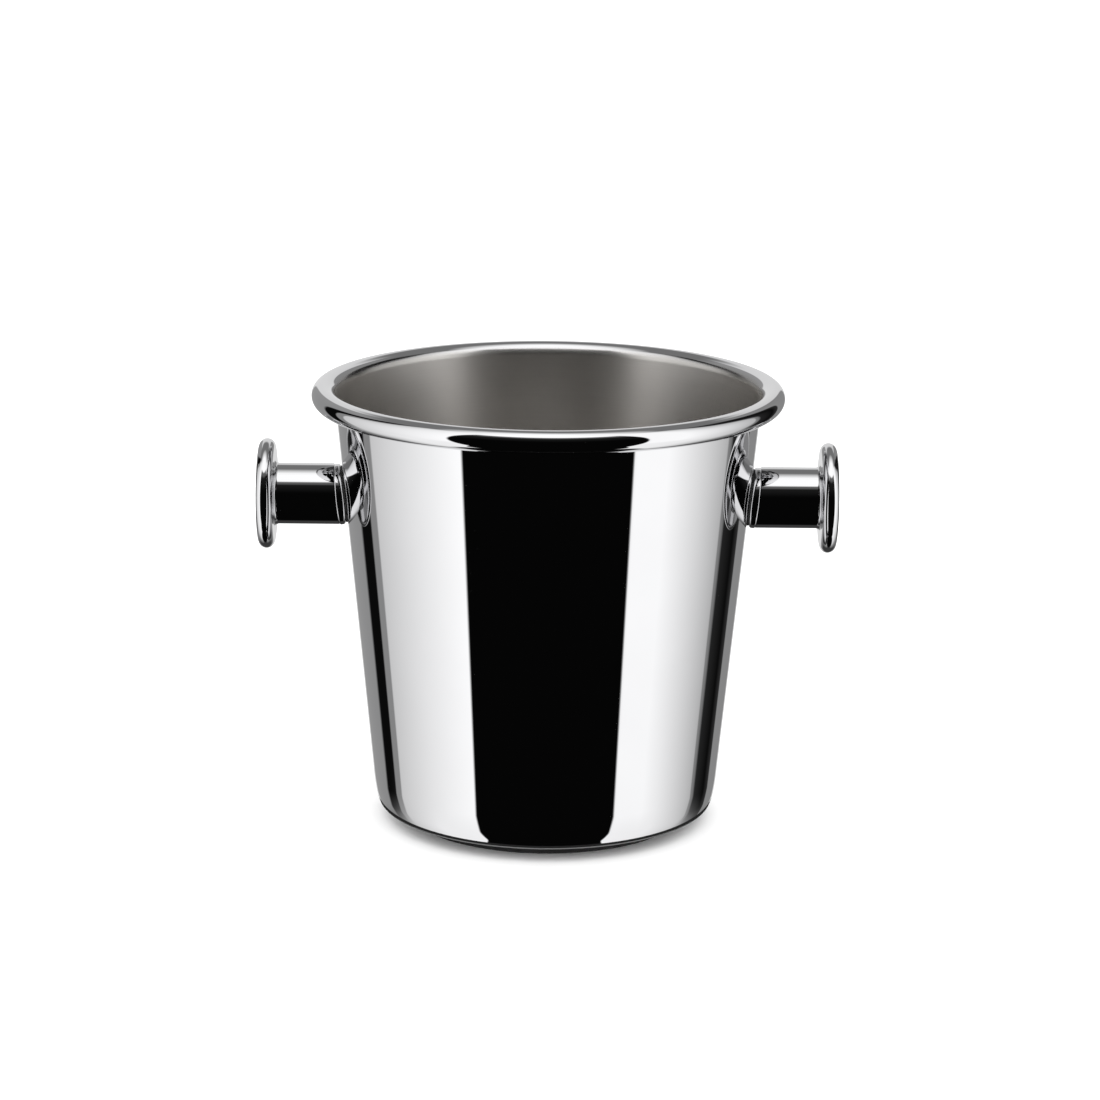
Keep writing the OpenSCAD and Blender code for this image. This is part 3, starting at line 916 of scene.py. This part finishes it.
def card_stops(cards, low, high):
    """Ramp stops for a row of cards that meet in soft edges, with low to high as positions 0 to 1."""
    stops = []
    for start, end, first, last in cards:
        stops += [((start + EDGE_SOFT - low) / (high - low), display_light(first)),
                  ((end - EDGE_SOFT - low) / (high - low), display_light(last))]
    return stops


def studio_room(tree, x, y, z):
    """Tone of the studio in a direction.

    All round stand the cards, picked by azimuth, and the gaps behind the two side cards lean forwards
    as they rise. Above them is a grey room with one wide softbox overhead, which fades towards the
    back with y/z + bow (x/z)^2. Over the black card in front it ends in a soft edge. Below the cards
    lies the pale floor, dark right under the bucket.
    """
    azimuth = sums(tree, "MULTIPLY", sums(tree, "ARCTAN2", x, sums(tree, "MULTIPLY", y, -1.0)), 180 / pi)
    rise = sums(tree, "MULTIPLY", sums(tree, "ARCSINE", z), 180 / pi)
    beside = sums(tree, "ABSOLUTE", azimuth)
    lean = sums(tree, "MULTIPLY", spread(tree, rise, *LEAN_RISE, 0.0, LEAN),
                spread(tree, beside, *LEAN_BESIDE))
    splay = spread(tree, rise, *SPLAY_RISE, SPLAY, 0.0)
    leaning = sums(tree, "ADD", beside, sums(tree, "ADD", lean, splay))
    leaning = sums(tree, "MINIMUM", sums(tree, "MAXIMUM", leaning, 0.0), 180.0)
    turn = sums(tree, "MULTIPLY", leaning, sums(tree, "SIGN", azimuth))
    turn = sums(tree, "MULTIPLY_ADD", turn, 1 / 360, 0.5)
    cards = ramp(tree, turn, card_stops(CARDS, -180, 180))
    ground = ramp(tree, sums(tree, "DIVIDE", leaning, 180.0), card_stops(GROUND, 0, 180))

    high = sums(tree, "MAXIMUM", z, 0.02)
    back = sums(tree, "DIVIDE", y, high)
    aside = sums(tree, "DIVIDE", x, high)
    far = sums(tree, "MULTIPLY_ADD", sums(tree, "MULTIPLY", aside, aside), SOFTBOX_BOW, back)
    overhead = sums(tree, "MULTIPLY_ADD", far, -SOFTBOX_FADE / STEEL_RETURNS, SOFTBOX_LIGHT / STEEL_RETURNS)
    overhead = sums(tree, "MAXIMUM", overhead, display_light(GREY_ROOM))
    overhead = sums(tree, "MINIMUM", overhead, display_light(255))
    front = even(display_light(BLACK_CARD))
    for low, full, tone in OVER_BLACK_CARD:
        front = blend(tree, spread(tree, rise, low, full), front, even(display_light(tone)))

    top = sums(tree, "SUBTRACT", spread(tree, beside, *TOP_BESIDE, *TOP_EDGE, smooth=False),
               spread(tree, beside, *DROP_BESIDE, 0.0, TOP_DROP))
    above = spread(tree, sums(tree, "SUBTRACT", rise, top), -TOP_SOFT, TOP_SOFT)
    above = sums(tree, "MULTIPLY", above, spread(tree, beside, *TOP_STARTS))
    room = blend(tree, above, cards, overhead)
    room = blend(tree, spread(tree, beside, *FRONT_END, 1.0, 0.0), room, front)
    room = blend(tree, spread(tree, rise, *FLOOR_STARTS), ground, room)
    return blend(tree, spread(tree, rise, *DARK_STARTS), even(display_light(BLACK_CARD)), room)


def light_studio(studio):
    """World: white behind the bucket, an even fill for matt surfaces, and the studio for polished ones."""
    world = bpy.data.worlds.new("studio")
    world.use_nodes = True
    bpy.context.scene.world = world
    world.cycles.sampling_method = "NONE"
    tree = world.node_tree
    background = tree.nodes["Background"]
    toward = tree.nodes.new("ShaderNodeSeparateXYZ")
    tree.links.new(tree.nodes.new("ShaderNodeTexCoord").outputs["Generated"], toward.inputs[0])
    light = tree.nodes.new("ShaderNodeLightPath")
    seen = blend(tree, light.outputs["Is Diffuse Ray"], studio_room(tree, *toward.outputs), even(studio.fill))
    seen = blend(tree, light.outputs["Is Camera Ray"], seen, even(1))
    tree.links.new(seen, background.inputs["Color"])
    background.inputs["Strength"].default_value = 1


def lay_disc(name, radius, z, material):
    """A flat round staged surface."""
    t = turns(FLOOR_STEPS)
    rim = np.stack([radius * np.cos(t), radius * np.sin(t), z + 0 * t], 1)
    mesh = bpy.data.meshes.new(name)
    mesh.from_pydata(rim.tolist(), [], [list(range(len(rim)))])
    mesh.materials.append(material)
    disc = bpy.data.objects.new(name, mesh)
    bpy.context.scene.collection.objects.link(disc)
    return disc


def floor_finish(name, pale, dull, painted_shadow_r=None):
    """Matt floor between two close tones; where a radius is given, painted shadow turns it near black outside
    of that radius.
    """
    material, tree, shader, place = new_material(name, (pale, pale, pale))
    tone = use_group(tree, cloud_group(), Vector=place, Per_Metre=8.0, Low=0.0, High=1.0)
    colour = blend(tree, tone.outputs["Value"], even(pale), even(dull))
    if painted_shadow_r:
        reach = tree.nodes.new("ShaderNodeVectorMath")
        reach.operation = "LENGTH"
        tree.links.new(place, reach.inputs[0])
        # painted shadow: a near-black ring outside the given radius
        dark = spread(tree, reach.outputs["Value"], painted_shadow_r - 0.0004, painted_shadow_r + 0.0004)
        colour = blend(tree, dark, colour, even(0.02))
    tree.links.new(colour, shader.inputs["Base Color"])
    shader.inputs["Roughness"].default_value = 1
    shader.inputs["Specular IOR Level"].default_value = 0
    return material


# ---- operators ----

class BUCKET_OT_shell(bpy.types.Operator):
    """Spins the drawn shell: floor, wall, flare and rolled bead"""
    bl_idname = "bucket.shell"
    bl_label = "Bucket Shell"

    def execute(self, context):
        made = context.scene.champagne_bucket
        outline, mark = shell_profile(made.shell, made.foot)
        material = shared_material("polished_and_satin_steel", polished_and_satin_steel)
        grid = spin_up(outline, SHELL_STEPS)
        make_piece("spun_shell", grid, material, "bucket_shell", marks=mark)
        return {"FINISHED"}


class BUCKET_OT_foot(bpy.types.Operator):
    """Makes the rubber foot pad and finishes the steel ring above it"""
    bl_idname = "bucket.foot"
    bl_label = "Foot"

    def execute(self, context):
        made = context.scene.champagne_bucket
        grid = spin_up(pad_profile(made.foot), PAD_STEPS)
        # the pad's near black is partly painted shade for the shadow under the shell
        rubber = shared_material("black_rubber", black_rubber)
        make_piece("rubber_foot_pad", grid, rubber, "foot_pad", closed=True)
        finish_node("foot_ring", shared_material("plain_steel", plain_steel))
        return {"FINISHED"}


class BUCKET_OT_discs(bpy.types.Operator):
    """Makes the face and the back of both knobs' discs"""
    bl_idname = "bucket.discs"
    bl_label = "Knob Discs"

    def execute(self, context):
        knob = context.scene.champagne_bucket.knob
        steel = shared_material("polished_steel", polished_steel)
        seam_x = knob.face_x - knob.crown - knob.edge_r
        neck = seam_x - knob.edge_r - knob.neck_x
        face = along_axis(disc_face_profile(knob), knob, seam_x, DISC_STEPS)
        back = along_axis(disc_back_profile(knob, neck), knob, seam_x, DISC_STEPS)
        for label, side in SIDES:
            make_piece(f"{label}_domed_face", on_side(face, side), steel,
                       f"{label}_disc_face")
            make_piece(f"{label}_coved_back", on_side(back, side), steel,
                       f"{label}_disc_back", closed=True)
        return {"FINISHED"}


class BUCKET_OT_stems(bpy.types.Operator):
    """Makes the stem tubes and finishes the plugs inside them"""
    bl_idname = "bucket.stems"
    bl_label = "Knob Stems"

    def execute(self, context):
        made = context.scene.champagne_bucket
        grid = stem_grid(made.knob, made.shell, STEM_STEPS)
        steel = shared_material("polished_steel", polished_steel)
        plain = shared_material("plain_steel", plain_steel)
        for label, side in SIDES:
            make_piece(f"{label}_polished_stem", on_side(grid, side), steel,
                       f"{label}_stem_tube", closed=True)
            finish_node(f"{label}_anchor_plug", plain)
        return {"FINISHED"}


class BUCKET_OT_collars(bpy.types.Operator):
    """Makes the root collars and the gaskets between them and the wall"""
    bl_idname = "bucket.collars"
    bl_label = "Collars and Gaskets"

    def execute(self, context):
        made = context.scene.champagne_bucket
        knob = made.knob
        foot, axis = square_to_wall(knob, made.shell)
        collar = collar_grid(knob, made.shell, made.fixing, STEM_STEPS)
        gasket = layer_grid(knob.stem_r - knob.gasket_inset, made.fixing.hole_r, knob.gasket,
                            foot, axis, made.shell, 0.0, GASKET_STEPS)
        steel = shared_material("polished_steel", polished_steel)
        rubber = shared_material("black_rubber", black_rubber)
        for label, side in SIDES:
            make_piece(f"{label}_turned_collar", on_side(collar, side), steel,
                       f"{label}_root_collar", closed=True)
            make_piece(f"{label}_wall_gasket", on_side(gasket, side), rubber,
                       f"{label}_gasket", closed=True)
        return {"FINISHED"}


class BUCKET_OT_fixings(bpy.types.Operator):
    """Makes the screws, the saddle washers and the seals inside the bucket"""
    bl_idname = "bucket.fixings"
    bl_label = "Fixings"

    def execute(self, context):
        made = context.scene.champagne_bucket
        knob, fixing = made.knob, made.fixing
        screw = screw_grid(knob, fixing, SCREW_STEPS)
        washer = washer_grid(knob, made.shell, fixing, WASHER_STEPS)
        seal = layer_grid(fixing.seal_r, fixing.hole_r, fixing.seal, (0, 0, knob.axis_z), (1, 0, 0),
                          made.shell, -made.shell.sheet - fixing.seal, WASHER_STEPS)
        turned = shared_material("turned_steel", turned_steel)
        rubber = shared_material("black_rubber", black_rubber)
        for label, side in SIDES:
            make_piece(f"{label}_button_screw", on_side(screw, side), turned,
                       f"{label}_fixing_screw")
            make_piece(f"{label}_saddle", on_side(washer, side), turned,
                       f"{label}_saddle_washer", closed=True)
            make_piece(f"{label}_wall_seal", on_side(seal, side), rubber,
                       f"{label}_inner_seal", closed=True)
        return {"FINISHED"}


class BUCKET_OT_studio(bpy.types.Operator):
    """Lays the floor, lights the room and sets the camera"""
    bl_idname = "bucket.studio"
    bl_label = "Studio"

    def execute(self, context):
        scene = context.scene
        studio = scene.champagne_bucket.studio

        floor = lay_disc("studio_floor", studio.floor_r, 0.0, floor_finish("white_floor", 0.90, 0.88))
        floor.visible_glossy = False
        # the corner of the shell sees only the floor close to the bucket, in its shadow: this disc, seen only
        # in reflections, has that shade painted into its colour as a darker tone and a near-black painted
        # shadow ring
        shaded = floor_finish("painted_shade_floor", 0.36, 0.34, studio.painted_shadow_r)
        close = lay_disc("floor_close_to_foot", studio.close_r, studio.close_z, shaded)
        close.visible_camera = close.visible_diffuse = close.visible_shadow = False

        light_studio(studio)

        look = Vector((0, cos(studio.elevation), -sin(studio.elevation)))
        across = Vector((1, 0, 0))
        up = across.cross(look)
        turn = studio.roll
        right = across * cos(turn) + up * sin(turn)
        top = up * cos(turn) - across * sin(turn)
        place = Vector(studio.aim) - look * studio.distance
        camera = bpy.data.objects.new("camera", bpy.data.cameras.new("camera"))
        camera.data.sensor_width = 36
        camera.data.lens = studio.lens
        camera.data.clip_end = 100
        camera.matrix_world = Matrix.Translation(place) @ Matrix((right, top, -look)).transposed().to_4x4()
        scene.collection.objects.link(camera)
        scene.camera = camera
        scene.view_settings.view_transform = "Standard"
        return {"FINISHED"}


class BUCKET_PT_panel(bpy.types.Panel):
    """Lists the sizes and the steps that make the bucket"""
    bl_idname = "BUCKET_PT_panel"
    bl_label = "Champagne Bucket"
    bl_space_type = "VIEW_3D"
    bl_region_type = "UI"
    bl_category = "Bucket"

    def draw(self, context):
        made = context.scene.champagne_bucket
        for title, group in (("Shell", made.shell), ("Foot", made.foot), ("Knob", made.knob),
                             ("Fixing", made.fixing), ("Finishes", made.finish), ("Studio", made.studio)):
            box = self.layout.box()
            box.label(text=title)
            for key in group.__annotations__:
                box.prop(group, key)
        for operator in OPERATORS:
            self.layout.operator(operator.bl_idname)


OPERATORS = (BUCKET_OT_shell, BUCKET_OT_foot, BUCKET_OT_discs, BUCKET_OT_stems, BUCKET_OT_collars,
             BUCKET_OT_fixings, BUCKET_OT_studio)
CLASSES = (ShellSizes, FootSizes, KnobSizes, FixingSizes, Finishes, StudioSettings, BucketSettings,
           *OPERATORS, BUCKET_PT_panel)


def register():
    for cls in CLASSES:
        bpy.utils.register_class(cls)
    bpy.types.Scene.champagne_bucket = PointerProperty(type=BucketSettings, name="Champagne bucket",
                                                       description="Sizes and finishes of the bucket")


def unregister():
    del bpy.types.Scene.champagne_bucket
    for cls in reversed(CLASSES):
        bpy.utils.unregister_class(cls)


def main():
    register()
    bpy.ops.bucket.shell()
    bpy.ops.bucket.foot()
    bpy.ops.bucket.discs()
    bpy.ops.bucket.stems()
    bpy.ops.bucket.collars()
    bpy.ops.bucket.fixings()
    bpy.ops.bucket.studio()


if __name__ == "__main__":
    main()
